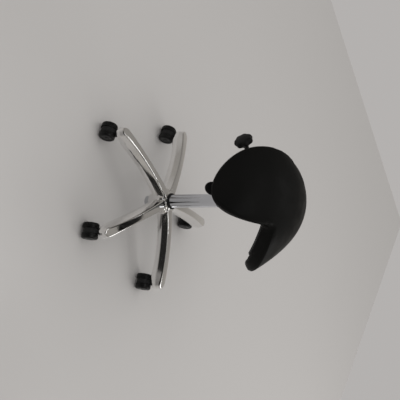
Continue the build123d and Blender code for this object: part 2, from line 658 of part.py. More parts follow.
def caster_wheel(side):
    """Hollow-backed wheel with a rounded shoulder, on the side +1 or -1 of the housing."""
    w = WHEEL_WIDTH
    profile = Polyline((4.0 + FIT, 0), (9.5, 0), (9.5, 14.5), (24.5, 14.5), (25.5, 0), (WHEEL_R - 1.0, 0),
                       (WHEEL_R, 1.0), (WHEEL_R, w - 7.0))
    shoulder = ThreePointArc((WHEEL_R, w - 7.0), (WHEEL_R - 2.1, w - 2.1), (WHEEL_R - 7.0, w))
    face = Polyline((WHEEL_R - 7.0, w), (20.0, w), (18.0, w - 1.5), (0, w - 0.5), (0, 15.5),
                    (4.0 + FIT, 15.5), (4.0 + FIT, 0))
    outline = make_face(Curve() + [profile, shoulder, face])
    wheel = revolve(Plane.XY * outline, Axis.Y)
    if side < 0:
        wheel = mirror(wheel, Plane.XZ)
    return at(TRAIL, side * WHEEL_INNER_Y, WHEEL_R) * wheel


def caster_place(index):
    x, y = stem_places()[index]
    return Location((x, y, 0), (0, 0, TRAIL_DEG[index]))


def main():
    os.makedirs("parts", exist_ok=True)
    single = {
        "base_star": base_star, "column_tube": column_tube, "hub_ring": hub_ring,
        "guide_bushing": guide_bushing, "piston_rod": piston_rod, "rod_clip": rod_clip,
        "piston": piston, "bearing_washers": bearing_washers, "bearing_balls": bearing_balls,
        "bearing_cage": bearing_cage, "bump_buffer": bump_buffer,
        "pressure_cylinder": pressure_cylinder, "cylinder_seal": cylinder_seal,
        "valve_body": valve_body, "release_pin": release_pin,
        "mechanism_housing": mechanism_housing, "taper_socket": taper_socket,
        "tilt_pivot_shaft": tilt_pivot_shaft, "pivot_clips": pivot_clips,
        "lever_bracket": lever_bracket, "lever_pivot_pin": lever_pivot_pin,
        "height_lever": height_lever, "lever_paddle": lever_paddle, "star_knob": star_knob,
        "knob_insert": knob_insert, "clamp_spindle": clamp_spindle, "spacer_tube": spacer_tube,
        "clamp_nut": clamp_nut, "seat_plate": seat_plate, "pivot_bushes": pivot_bushes,
        "seat_cushion": seat_cushion, "seat_shell": seat_shell, "shell_inserts": shell_inserts,
        "seat_bolts": seat_bolts, "bolt_washers": bolt_washers, "caster_stems": caster_stems,
        "grip_rings": grip_rings,
    }
    for name, make in single.items():
        save(name, make())
    caster = {"caster_housing": caster_housing(), "caster_axle": caster_axle(),
              "wheel_left": caster_wheel(1), "wheel_right": caster_wheel(-1)}
    for index in range(ARM_COUNT):
        for name, shape in caster.items():
            save(f"{name}_{index + 1}", caster_place(index) * shape)


main()
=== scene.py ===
import json
import math

import bmesh
import bpy
from mathutils import Matrix, Vector
from mathutils.bvhtree import BVHTree
from mathutils.kdtree import KDTree


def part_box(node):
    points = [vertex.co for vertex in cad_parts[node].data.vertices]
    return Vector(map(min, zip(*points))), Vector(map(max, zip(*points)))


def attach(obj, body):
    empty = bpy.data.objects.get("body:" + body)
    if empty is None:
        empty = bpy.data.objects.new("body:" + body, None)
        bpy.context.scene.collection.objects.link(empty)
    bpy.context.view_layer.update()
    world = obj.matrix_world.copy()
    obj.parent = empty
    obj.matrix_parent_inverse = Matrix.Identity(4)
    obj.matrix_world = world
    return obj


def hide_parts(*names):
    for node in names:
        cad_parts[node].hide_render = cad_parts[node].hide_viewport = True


# Looks of the saddle stool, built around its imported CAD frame. Metres, +Z up, front towards -Y.

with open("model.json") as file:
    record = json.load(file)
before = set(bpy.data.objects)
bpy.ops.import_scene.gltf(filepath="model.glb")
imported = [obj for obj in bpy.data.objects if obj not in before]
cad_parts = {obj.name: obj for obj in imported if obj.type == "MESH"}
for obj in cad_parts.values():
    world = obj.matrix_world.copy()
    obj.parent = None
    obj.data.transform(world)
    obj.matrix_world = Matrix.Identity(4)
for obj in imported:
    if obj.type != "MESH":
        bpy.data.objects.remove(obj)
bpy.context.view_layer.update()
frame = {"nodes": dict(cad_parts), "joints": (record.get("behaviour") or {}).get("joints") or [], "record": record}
NODES = frame["nodes"]
JOINTS = {joint["name"]: joint for joint in frame["joints"]}
BODIES = frame["record"]["behaviour"]["bodies"]
BODY_OF = {node: body for body, members in BODIES.items() for node in members}
SLOT_OF = {part["node"]: part["material_slot"] for part in frame["record"]["subparts"]}
MM = 0.001

# ---- driving values ---------------------------------------------------------------------
# the saddle's own formula, the same as in its CAD solid
OUTLINE_RADII = tuple(r * MM for r in (115, 184, 282, 298, 235, 197, 174))  # front to rear, 30 deg apart
OUTLINE_CENTRE_Y = -38.5 * MM
SPINE_Z = 681 * MM
SPINE_LINEAR, SPINE_SQUARE, SPINE_CUBE = 11 * MM, -65 * MM, -13 * MM  # rise one step behind the centre
SPINE_STEP = 200 * MM
ROLL_R, ROLL_TAPER = 263 * MM, 0.32  # the saddle bends across the spine on this radius, more at the front
PAD_EDGE = 12 * MM
PAD_THICK, PAD_THIN = 59 * MM, 15 * MM
PAD_ROUND = 0.40                   # share of the thickness taken by each rounded edge
PAD_FLAT_RINGS, PAD_EDGE_RINGS, PAD_AROUND = 40, 8, 240

# the base casting: the arches of its CAD solid, with flat tops, leaning sides and flared feet
STEM_CIRCLE, ARM_NOSE_R = 315.5 * MM, 23 * MM
ARM_WAIST_HALF, ARM_ROOT_HALF, ARM_ROOT_OUT = 19.0 * MM, 22 * MM, 52 * MM
ARM_TOP_Z = tuple(z * MM for z in (152, 139, 96))      # at the hub, midway and at the end
ARM_LOW_Z = tuple(z * MM for z in (104, 99, 68.5))
ARM_TOP_MID, ARM_LOW_MID = 185 * MM, 165 * MM          # how far out the middle heights are
ARM_END = STEM_CIRCLE + ARM_NOSE_R + 10 * MM
ARM_FOOT_START = STEM_CIRCLE - 34 * MM                 # from here the underside is level
ARM_TOP_IN, ARM_FLARE = 6.5 * MM, 6.0 * MM             # top edges inside, feet outside the arm's width
ARM_KNEE_SHARE = 0.42                                  # height of the knee, as a share of the arm's height
ARM_CROWN = 0.7 * MM
ARM_STEP, ARM_FIRST_STEP, ARM_NOSE_STEPS = 4 * MM, 7, 12   # the first step is clear of the hub's bore
SIDE_WALL, TOP_WALL, KNEE_DROP = 5 * MM, 7 * MM, 4 * MM    # of the channel under an arm
HUB_FLAT_R, HUB_BOSS_R, HUB_LOW_Z, HUB_CHAMFER = 34 * MM, 32 * MM, 70 * MM, 3 * MM
WEB_R, WEB_SLOPE, WEB_SHOULDER = 49 * MM, 3 * MM, 12 * MM
WEB_SINK, WEB_EDGE = 1 * MM, 5 * MM
SOCKET_R, STEM_BORE_R, SOCKET_HIGH = 13 * MM, 5.8 * MM, 24 * MM
CASTING_VOXEL, CASTING_ROUNDS = 1.7 * MM, 14

# the clamp knob, as shares of its radius and of its height
KNOB_LOBES, KNOB_LOBE_DEPTH = 7, 0.13
KNOB_NECK_R, KNOB_BACK_R, KNOB_FACE_R, KNOB_RIM_SWELL = 0.50, 0.92, 0.98, 0.07
KNOB_BACK_Z, KNOB_RIM_Z, KNOB_FACE_Z, KNOB_BORE_Z = 0.30, (0.34, 0.74), 0.76, 0.55

# a caster wheel: depths are from its inner face, recesses from its outer one
WHEEL_BORE_R, WHEEL_HUB_R, WHEEL_RIM_R, WHEEL_WEB_DEPTH = 4.1 * MM, 9.5 * MM, 25 * MM, 14.5 * MM
TREAD_EASE = 1.2 * MM
GROOVES, GROOVE_FIRST, GROOVE_PITCH, GROOVE_DEPTH, GROOVE_HALF = 5, 2.4 * MM, 2.0 * MM, 0.45 * MM, 0.3 * MM
SHOULDER_SHARE = 0.62                                  # of the width, where the round shoulder starts
CAP_R, CAP_LINE, CAP_DISH_R, CAP_DISH = 20 * MM, 0.9 * MM, 12 * MM, 1.6 * MM
BUTTON_R, BUTTON_CROWN, BUTTON_THICK = 7 * MM, 0.3 * MM, 3.3 * MM

# the pad's cover
PAD_VOXEL = 4.5 * MM
PAD_HELD = 6 * MM                  # the cover is held where it lies this close to the shell
PAD_SHRINK = 2.5 * MM              # the pad starts smaller, because the pressure swells it
PAD_PRESSURE = 4.0
PAD_FRAMES = 20
PAD_CAP = 6.0 * MM                 # no point of the cover moves further than this
PAD_ROUNDS, COVER_ROUNDS = 4, 2     # of smoothing, before and after the cloth
COVER_STIFFNESS, COVER_BENDING = 40.0, 1.5
SEAM_WIDTH, SEAM_DEPTH, SEAM_INSET = 3.2 * MM, 1.3 * MM, 0.55 * PAD_EDGE
SEAM_POINTS = 1400

# turned shapes and shading
TURN_STEPS, SOCKET_STEPS, KNOB_STEPS = 96, 48, 140
CAD_CREASE, WHEEL_CREASE, KNOB_CREASE = 30, 35, 40   # degrees: sharper edges stay sharp

# camera and stage
CAMERA_AZIMUTH, CAMERA_ELEVATION, CAMERA_DISTANCE = 228.4, 33.12, 3.0425
CAMERA_AIM = (0.0853, 0.1007, 0.2023)
CAMERA_ROLL = 89.15                # the picture lies on its side
LENS_MM, SENSOR_MM = 70.2, 36.0
FLOOR_HALF = 2.2

# the room: stops are (height, grey) or (turn, share)
WALL_STOPS = ((0.0, 0.40), (0.3, 0.34), (0.55, 0.27), (0.80, 0.28), (1.0, 0.32))
OPENING_STOPS = ((0.0, 0.012), (0.62, 0.02), (0.76, 0.10), (0.88, 0.85), (1.0, 0.40))
OPENING_TURN = ((0.03, 0.0), (0.07, 1.0), (0.25, 1.0), (0.29, 0.0))
FRAME_STOPS = ((0.0, 0.9), (0.12, 1.0), (0.2, 0.35), (0.24, 0.95), (0.36, 1.0), (0.42, 0.5), (0.47, 1.0),
               (0.8, 0.9), (0.9, 0.45), (0.97, 0.95))
WARMTH = (1.0, 0.975, 0.94)         # of every grey around the room
AMBIENT = (0.89, 0.885, 0.875, 1.0)  # even light on matt surfaces
FLOOR_GREY = (0.455, 0.44, 0.43)
FLOOR_CLOUD = 1.03                  # the paler marks on the floor
STRIP_SIZE, STRIP_POWER = (1.8, 0.3), 5
WINDOW_SIZE, WINDOW_POWER = (1.2, 1.2), 13


# ---- mesh helpers -----------------------------------------------------------------------
def new_piece(name, mesh):
    """New object in the scene."""
    piece = bpy.data.objects.new(name, mesh)
    bpy.context.scene.collection.objects.link(piece)
    return piece


def apply_modifiers(piece):
    """Replaces the piece's mesh with the result of its modifiers."""
    depsgraph = bpy.context.evaluated_depsgraph_get()
    mesh = bpy.data.meshes.new_from_object(piece.evaluated_get(depsgraph))
    piece.modifiers.clear()
    piece.data = mesh


def shade_smooth(piece, angle=None):
    """Smooth shading, with edges sharper than the angle kept sharp."""
    mesh = piece.data
    mesh.polygons.foreach_set("use_smooth", [True] * len(mesh.polygons))
    if angle is not None:
        mesh.set_sharp_from_angle(angle=math.radians(angle))


def mesh_from(name, build):
    """New mesh from a function that fills a bmesh."""
    bm = bmesh.new()
    build(bm)
    mesh = bpy.data.meshes.new(name)
    bm.to_mesh(mesh)
    bm.free()
    return mesh


def tree_of(piece):
    """Search tree over a piece's surface, in the row frame."""
    vertices = [piece.matrix_world @ v.co for v in piece.data.vertices]
    return BVHTree.FromPolygons(vertices, [list(p.vertices) for p in piece.data.polygons])


def lathe(bm, profile, place, steps):
    """Turns a closed (radius, height) profile about the local Z axis of the place matrix."""
    rings = []
    for i in range(steps):
        turn = Matrix.Rotation(2 * math.pi * i / steps, 4, "Z")
        rings.append([bm.verts.new(place @ turn @ Vector((r, 0, h))) for r, h in profile])
    count = len(profile)
    for i in range(steps):
        here, there = rings[i], rings[(i + 1) % steps]
        for k in range(count):
            n = (k + 1) % count
            bm.faces.new((here[k], there[k], there[n], here[n]))


def axis_frame(origin, axis):
    """Matrix that puts local Z on an axis through a point."""
    return Matrix.Translation(origin) @ Vector(axis).to_track_quat("Z", "X").to_matrix().to_4x4()


def finish_piece(piece, node, *replaced):
    """The piece moves with a CAD node's body and stands for the replaced nodes."""
    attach(piece, BODY_OF[node])
    if replaced:
        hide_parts(*replaced)
    return piece


# ---- shader helpers ---------------------------------------------------------------------
class Shader:
    """A Principled material and the few node chains that the finishes are made of."""

    def __init__(self, name, **sockets):
        self.material = bpy.data.materials.new(name)
        self.material.use_nodes = True
        self.tree = self.material.node_tree
        self.surface = self.tree.nodes["Principled BSDF"]
        self.height = None
        for socket, value in sockets.items():
            self.surface.inputs[socket.replace("_", " ")].default_value = value

    def node(self, kind, **inputs):
        """New shader node, with values or sockets fed to its inputs."""
        made = self.tree.nodes.new(kind)
        for socket, value in inputs.items():
            self.feed(value, made.inputs[socket])
        return made

    def feed(self, value, socket):
        """Links a socket, or sets a value."""
        if isinstance(value, bpy.types.NodeSocket):
            self.tree.links.new(value, socket)
        else:
            socket.default_value = value

    def space(self, stretch=(1, 1, 1)):
        """Object coordinates, stretched where a pattern has a direction."""
        coordinates = self.node("ShaderNodeTexCoord").outputs["Object"]
        return self.node("ShaderNodeMapping", Vector=coordinates, Scale=stretch).outputs["Vector"]

    def noise(self, scale, detail=3.0, stretch=(1, 1, 1)):
        """Soft cloudy pattern, with scale in clouds per metre."""
        made = self.node("ShaderNodeTexNoise", Vector=self.space(stretch), Scale=scale, Detail=detail)
        return made.outputs["Fac"]

    def cells(self, scale):
        """Cell pattern, for pressed leather grain."""
        made = self.node("ShaderNodeTexVoronoi", Vector=self.space(), Scale=scale)
        return made.outputs["Distance"]

    def spread(self, value, low, high, start=0.35, end=0.65):
        """Maps the middle of a pattern onto a range of values."""
        made = self.node("ShaderNodeMapRange", Value=value)
        for socket, number in (("From Min", start), ("From Max", end), ("To Min", low), ("To Max", high)):
            made.inputs[socket].default_value = number
        return made.outputs["Result"]

    def mix(self, factor, first, second):
        """Colour between two colours or colour sockets."""
        made = self.tree.nodes.new("ShaderNodeMix")
        made.data_type = "RGBA"
        for value, index in ((factor, 0), (first, 6), (second, 7)):
            self.feed(opaque(value), made.inputs[index])
        return made.outputs[2]

    def edges(self, start=0.52, end=0.58):
        """0 on flat areas, 1 on outer edges, where handling wears a finish."""
        point = self.node("ShaderNodeNewGeometry").outputs["Pointiness"]
        return self.spread(point, 0.0, 1.0, start, end)

    def colour(self, value):
        self.feed(value, self.surface.inputs["Base Color"])

    def roughness(self, value):
        self.feed(value, self.surface.inputs["Roughness"])

    def relief(self, value, depth, strength=1.0):
        """Adds a bump of the given depth in metres, on top of earlier ones."""
        bump = self.node("ShaderNodeBump", Height=value, Strength=strength, Distance=depth)
        if self.height is not None:
            self.tree.links.new(self.height, bump.inputs["Normal"])
        self.height = bump.outputs["Normal"]
        self.tree.links.new(self.height, self.surface.inputs["Normal"])


def opaque(colour):
    """A three-channel colour with alpha added, or any other value as it is."""
    if hasattr(colour, "__len__") and len(colour) == 3:
        return tuple(colour) + (1.0,)
    return colour


# ---- finishes ---------------------------------------------------------------------------
def polished_aluminium():
    """Hand-polished casting: slightly wavy, with fine wheel marks and faint haze."""
    s = Shader("polished_aluminium", Metallic=1.0)
    haze = s.noise(9.0, 4.0)
    s.colour(s.mix(haze, (0.80, 0.79, 0.775), (0.88, 0.875, 0.87)))
    s.roughness(s.spread(s.noise(22.0, 6.0), 0.045, 0.13))
    s.relief(s.noise(14.0, 2.0), 0.9 * MM, 0.35)
    s.relief(s.noise(260.0, 3.0, (1.0, 1.0, 5.0)), 0.02 * MM, 0.5)
    return s.material


def chrome():
    """Bright plating with faint drawing lines along the tube."""
    s = Shader("chrome", Metallic=1.0)
    s.colour(s.mix(s.noise(6.0), (0.54, 0.555, 0.585), (0.63, 0.64, 0.67)))
    s.roughness(s.spread(s.noise(40.0, 4.0, (1.0, 1.0, 0.08)), 0.02, 0.085))
    s.relief(s.noise(500.0, 2.0, (1.0, 1.0, 0.02)), 0.006 * MM, 0.4)
    return s.material


def bright_steel():
    """Turned and zinc-plated small parts."""
    s = Shader("bright_steel", Metallic=1.0)
    s.colour(s.mix(s.noise(30.0), (0.52, 0.52, 0.54), (0.68, 0.67, 0.66)))
    s.roughness(s.spread(s.noise(180.0, 4.0), 0.22, 0.42))
    s.relief(s.noise(900.0, 2.0, (1.0, 1.0, 0.1)), 0.02 * MM, 0.6)
    return s.material


def brass():
    """Turned brass inserts."""
    s = Shader("brass", Metallic=1.0)
    s.colour(s.mix(s.noise(40.0), (0.55, 0.40, 0.16), (0.76, 0.59, 0.27)))
    s.roughness(s.spread(s.noise(160.0), 0.2, 0.4))
    s.relief(s.noise(700.0), 0.02 * MM, 0.5)
    return s.material


def painted_steel():
    """Black powder coat: orange peel, and thinner bright wear on its edges."""
    s = Shader("black_steel")
    base = s.mix(s.noise(16.0), (0.018, 0.018, 0.019), (0.034, 0.034, 0.036))
    s.colour(s.mix(s.spread(s.edges(), 0.0, 0.5), base, (0.11, 0.11, 0.115)))
    s.roughness(s.spread(s.noise(60.0, 5.0), 0.34, 0.52))
    s.relief(s.noise(650.0, 2.0), 0.06 * MM, 0.7)
    return s.material


def moulded(name, dark, light, rough, pebble, depth, scuff=0.35, gloss=0.3):
    """Moulded plastic: fine spark-eroded grain, uneven gloss and paler handled edges."""
    s = Shader(name, Specular_IOR_Level=gloss)
    base = s.mix(s.noise(20.0, 4.0), dark, light)
    worn = tuple(0.012 + 1.8 * channel for channel in light)
    s.colour(s.mix(s.spread(s.edges(), 0.0, scuff), base, worn))
    s.roughness(s.spread(s.noise(45.0, 6.0), rough[0], rough[1]))
    s.relief(s.noise(pebble, 2.0), depth, 0.7)
    s.relief(s.noise(60.0, 3.0), depth * 2.0, 0.25)
    return s.material


def vinyl():
    """Soft black upholstery vinyl: pressed leather grain and a satin sheen."""
    s = Shader("black_vinyl", Specular_IOR_Level=0.07)
    s.colour(s.mix(s.noise(7.0, 5.0), (0.0030, 0.0030, 0.0028), (0.0058, 0.0057, 0.0053)))
    s.roughness(s.spread(s.noise(24.0, 6.0), 0.42, 0.54))
    s.relief(s.cells(620.0), 0.10 * MM, 0.55)
    s.relief(s.noise(1400.0, 3.0), 0.05 * MM, 0.5)
    s.relief(s.noise(11.0, 3.0), 0.9 * MM, 0.30)
    return s.material


def tread():
    """Hard polyurethane wheels with a little floor dust rubbed into them."""
    s = Shader("black_nylon", Specular_IOR_Level=0.22)
    base = s.mix(s.noise(35.0, 4.0), (0.0035, 0.0035, 0.0035), (0.008, 0.008, 0.008))
    dust = s.spread(s.noise(90.0, 6.0), 0.0, 0.25, 0.5, 0.75)
    s.colour(s.mix(dust, base, (0.03, 0.029, 0.028)))
    s.roughness(s.spread(s.noise(70.0, 5.0), 0.26, 0.48))
    s.relief(s.noise(800.0, 2.0), 0.03 * MM, 0.6)
    return s.material


def rubber():
    """Matt black rubber."""
    s = Shader("rubber")
    s.colour(s.mix(s.noise(25.0, 4.0), (0.014, 0.014, 0.014), (0.032, 0.031, 0.030)))
    s.roughness(s.spread(s.noise(80.0, 4.0), 0.6, 0.82))
    s.relief(s.noise(420.0), 0.05 * MM, 0.6)
    return s.material


def finishes():
    """One material per slot of the record."""
    return {
        "polished_aluminium": polished_aluminium(),
        "chrome": chrome(),
        "bright_steel": bright_steel(),
        "brass": brass(),
        "black_steel": painted_steel(),
        "black_plastic": moulded("black_plastic", (0.004, 0.004, 0.004), (0.009, 0.009, 0.009),
                                 (0.38, 0.56), 900.0, 0.05 * MM, gloss=0.14),
        "grey_nylon": moulded("grey_nylon", (0.07, 0.07, 0.073), (0.12, 0.12, 0.125),
                              (0.40, 0.58), 700.0, 0.04 * MM),
        "shell_plastic": moulded("shell_plastic", (0.016, 0.016, 0.016), (0.032, 0.032, 0.032),
                                 (0.50, 0.70), 380.0, 0.16 * MM, scuff=0.2),
        "black_vinyl": vinyl(),
        "black_nylon": tread(),
        "rubber": rubber(),
    }


def dress(piece, material):
    """Gives a piece one material all over."""
    piece.data.materials.clear()
    piece.data.materials.append(material)


# ---- the saddle -------------------------------------------------------------------------
def outline_radius(theta):
    """Cosine series through the outline radii, theta from the front (0) to the rear (pi)."""
    last = len(OUTLINE_RADII) - 1
    total = 0.0
    for k in range(last + 1):
        term = 0.0
        for j, radius in enumerate(OUTLINE_RADII):
            weight = 0.5 if j in (0, last) else 1.0
            term += weight * radius * math.cos(math.pi * j * k / last)
        total += (0.5 if k in (0, last) else 1.0) * term * math.cos(k * theta)
    return total * 2.0 / last


def saddle_top(across, along):
    """Point of the seat's top skin: across is the arc length from the spine."""
    t = along / SPINE_STEP
    spine = SPINE_Z + SPINE_LINEAR * t + SPINE_SQUARE * t * t + SPINE_CUBE * t ** 3
    roll = ROLL_R * (1.0 + ROLL_TAPER * t)
    return Vector((roll * math.sin(across / roll), along, spine - roll * (1.0 - math.cos(across / roll))))


def saddle_point(across, along, depth):
    """Point at a depth under the top skin, along the skin's normal."""
    right = saddle_top(across + MM, along) - saddle_top(across - MM, along)
    back = saddle_top(across, along + MM) - saddle_top(across, along - MM)
    return saddle_top(across, along) - right.cross(back).normalized() * depth


def pad_rings():
    """(share, inset, depth share) of the closed curves around the pad, from the top to the bottom pole."""
    flat = [k / PAD_FLAT_RINGS for k in range(1, PAD_FLAT_RINGS)]
    rings = [(share, PAD_EDGE, 0.0) for share in flat]
    for k in range(PAD_EDGE_RINGS + 1):
        angle = math.pi / 2 * k / PAD_EDGE_RINGS
        rings.append((1.0, PAD_EDGE * (1 - math.sin(angle)), PAD_ROUND * (1 - math.cos(angle))))
    for k in range(PAD_EDGE_RINGS + 1):
        angle = math.pi / 2 * k / PAD_EDGE_RINGS
        rings.append((1.0, PAD_EDGE * (1 - math.cos(angle)), 1 - PAD_ROUND * (1 - math.sin(angle))))
    return rings + [(share, PAD_EDGE, 1.0) for share in reversed(flat)]


def saddle_solid(bm):
    """Closed saddle with rounded edges, as thick as its CAD solid."""
    loops = []
    for share, inset, depth_share in pad_rings():
        loop = []
        for i in range(PAD_AROUND):
            theta = 2.0 * math.pi * i / PAD_AROUND
            radius = (outline_radius(theta) - inset) * share
            across, along = radius * math.sin(theta), OUTLINE_CENTRE_Y - radius * math.cos(theta)
            thick = PAD_THICK - PAD_THIN * (across / max(OUTLINE_RADII)) ** 2
            loop.append(bm.verts.new(saddle_point(across, along, thick * depth_share)))
        loops.append(loop)
    for upper, lower in zip(loops, loops[1:]):
        for i in range(PAD_AROUND):
            n = (i + 1) % PAD_AROUND
            bm.faces.new((upper[i], lower[i], lower[n], upper[n]))
    top = bm.verts.new(saddle_point(0, OUTLINE_CENTRE_Y, 0))
    bottom = bm.verts.new(saddle_point(0, OUTLINE_CENTRE_Y, PAD_THICK))
    for i in range(PAD_AROUND):
        n = (i + 1) % PAD_AROUND
        bm.faces.new((top, loops[0][i], loops[0][n]))
        bm.faces.new((bottom, loops[-1][n], loops[-1][i]))
    bmesh.ops.recalc_face_normals(bm, faces=bm.faces)


def seam_line(pad_tree):
    """Closed line on the cover where its top panel meets the side band."""
    points = []
    for i in range(SEAM_POINTS):
        theta = 2.0 * math.pi * i / SEAM_POINTS
        radius = outline_radius(theta) - SEAM_INSET
        point = saddle_top(radius * math.sin(theta), OUTLINE_CENTRE_Y - radius * math.cos(theta))
        points.append(pad_tree.find_nearest(point)[0])
    return points


def shrink(piece, distance):
    """Moves every point inwards along its normal."""
    for vertex, normal in zip(piece.data.vertices, [v.normal.copy() for v in piece.data.vertices]):
        vertex.co -= normal * distance


def soften(piece, rounds, factor=0.5):
    """Smooths the surface without changing its topology."""
    smooth = piece.modifiers.new("soften", "SMOOTH")
    smooth.iterations = rounds
    smooth.factor = factor
    apply_modifiers(piece)


def inflate(piece, held):
    """Cloth with inner pressure, the held points pinned, and every move capped."""
    start = [v.co.copy() for v in piece.data.vertices]
    group = piece.vertex_groups.new(name="held")
    group.add(held, 1.0, "REPLACE")
    cloth = piece.modifiers.new("cover", "CLOTH")
    cloth.settings.use_pressure = True
    cloth.settings.uniform_pressure_force = PAD_PRESSURE
    cloth.settings.effector_weights.gravity = 0.0
    cloth.settings.tension_stiffness = COVER_STIFFNESS
    cloth.settings.compression_stiffness = COVER_STIFFNESS
    cloth.settings.bending_stiffness = COVER_BENDING
    cloth.settings.vertex_group_mass = "held"
    cloth.point_cache.frame_end = PAD_FRAMES
    for number in range(1, PAD_FRAMES + 1):
        bpy.context.scene.frame_set(number)
    apply_modifiers(piece)
    for vertex, old in zip(piece.data.vertices, start):
        move = vertex.co - old
        if move.length > PAD_CAP:
            vertex.co = old + move.normalized() * PAD_CAP
    piece.vertex_groups.clear()
    bpy.context.scene.frame_set(1)


def press_seam(piece, line):
    """Draws the cover in along a seam."""
    near = KDTree(len(line))
    for index, point in enumerate(line):
        near.insert(point, index)
    near.balance()
    normals = [v.normal.copy() for v in piece.data.vertices]
    for vertex, normal in zip(piece.data.vertices, normals):
        distance = near.find(vertex.co)[2]
        if distance < 3 * SEAM_WIDTH:
            vertex.co -= normal * SEAM_DEPTH * math.exp(-(distance / SEAM_WIDTH) ** 2 * 2.0)


def saddle_pad():
    """Foam pad in its vinyl cover, swollen by a cloth simulation from a slightly smaller saddle."""
    piece = new_piece("saddle_pad", mesh_from("saddle_pad", saddle_solid))
    remesh = piece.modifiers.new("remesh", "REMESH")
    remesh.mode = "VOXEL"
    remesh.voxel_size = PAD_VOXEL
    apply_modifiers(piece)
    soften(piece, PAD_ROUNDS)
    shrink(piece, PAD_SHRINK)
    shell = tree_of(NODES["seat_shell"])
    held = [v.index for v in piece.data.vertices if shell.find_nearest(v.co)[3] < PAD_HELD]
    inflate(piece, held)
    soften(piece, COVER_ROUNDS)
    finer = piece.modifiers.new("finer", "SUBSURF")
    finer.levels = finer.render_levels = 1
    apply_modifiers(piece)
    press_seam(piece, seam_line(tree_of(piece)))
    shade_smooth(piece)
    return finish_piece(piece, "seat_cushion", "seat_cushion")


# ---- base casting -----------------------------------------------------------------------
def arc_through(first, middle, last):
    """Height as a function of the distance out, along the circle through three (out, height) points."""
    (ax, ay), (bx, by), (cx, cy) = first, middle, last
    d = 2 * (ax * (by - cy) + bx * (cy - ay) + cx * (ay - by))
    a2, b2, c2 = ax * ax + ay * ay, bx * bx + by * by, cx * cx + cy * cy
    ux = (a2 * (by - cy) + b2 * (cy - ay) + c2 * (ay - by)) / d
    uy = (a2 * (cx - bx) + b2 * (ax - cx) + c2 * (bx - ax)) / d
    r = math.hypot(ax - ux, ay - uy)
    side = 1.0 if by > uy else -1.0
    return lambda x: uy + side * math.sqrt(max(r * r - (x - ux) ** 2, 0.0))


def arm_half_width(out):
    """Half width of an arm: waisted between the hub and its round end."""
    waist = arc_through((ARM_ROOT_OUT, ARM_ROOT_HALF), ((ARM_ROOT_OUT + STEM_CIRCLE) / 2, ARM_WAIST_HALF),
                        (STEM_CIRCLE, ARM_NOSE_R))
    if out <= ARM_ROOT_OUT:
        return ARM_ROOT_HALF
    if out <= STEM_CIRCLE:
        return waist(out)
    return math.sqrt(max(ARM_NOSE_R ** 2 - (out - STEM_CIRCLE) ** 2, 0.0))


def arm_section(out):
    """Closed (across, height) section of an arm: flat top, sides that lean in, a channel underneath."""
    top = arc_through((HUB_FLAT_R, ARM_TOP_Z[0]), (ARM_TOP_MID, ARM_TOP_Z[1]), (ARM_END, ARM_TOP_Z[2]))
    low = arc_through((ARM_FOOT_START, ARM_LOW_Z[2]), (ARM_LOW_MID, ARM_LOW_Z[1]),
                      (HUB_FLAT_R, ARM_LOW_Z[0]))
    high = top(max(out, HUB_FLAT_R))
    level = ARM_LOW_Z[2 if out > STEM_CIRCLE / 2 else 0]
    base = low(out) if HUB_FLAT_R < out < ARM_FOOT_START else level
    half = max(arm_half_width(out), 0.5 * MM)                       # the tip never narrows to nothing
    slim = (ARM_NOSE_R - half) / (ARM_NOSE_R - ARM_WAIST_HALF)      # 0 at the round end, 1 at the waist
    slim = min(max(slim, 0.0), 1.0) if out < STEM_CIRCLE else 0.0
    foot = half + ARM_FLARE * slim
    knee = (half + foot) / 2
    edge = max(half - ARM_TOP_IN * min(1.0, half / ARM_TOP_IN / 1.5), 0.3 * MM)
    knee_z = base + (high - base) * ARM_KNEE_SHARE
    side = [(foot, base), (knee, knee_z), (edge, high - ARM_CROWN), (edge * 0.5, high)]
    inner = max(half - SIDE_WALL, 0.2 * MM)
    inner_edge = max(edge - SIDE_WALL, 0.1 * MM)
    channel = [(-inner, base), (-inner, knee_z - KNEE_DROP), (-inner_edge, high - TOP_WALL)]
    return side + mirrored(side) + channel + mirrored(channel)


def mirrored(points):
    """The same (across, height) points on the other side, in the order that continues the outline."""
    return [(-across, height) for across, height in reversed(points)]


def sweep_arm(bm, direction):
    """Skin of one arm from inside the hub's wall to its round end."""
    stations = [ARM_STEP * k for k in range(ARM_FIRST_STEP, int(STEM_CIRCLE / ARM_STEP) + 1)]
    stations += [STEM_CIRCLE + ARM_NOSE_R * math.sin(math.pi / 2 * k / ARM_NOSE_STEPS)
                 for k in range(1, ARM_NOSE_STEPS + 1)]
    turn = Matrix.Rotation(direction, 4, "Z")
    rings = []
    for out in stations:
        rings.append([bm.verts.new(turn @ Vector((out, across, z))) for across, z in arm_section(out)])
    for here, there in zip(rings, rings[1:]):
        for k in range(len(here)):
            n = (k + 1) % len(here)
            bm.faces.new((here[k], here[n], there[n], there[k]))
    bm.faces.new(rings[0])
    bm.faces.new(list(reversed(rings[-1])))


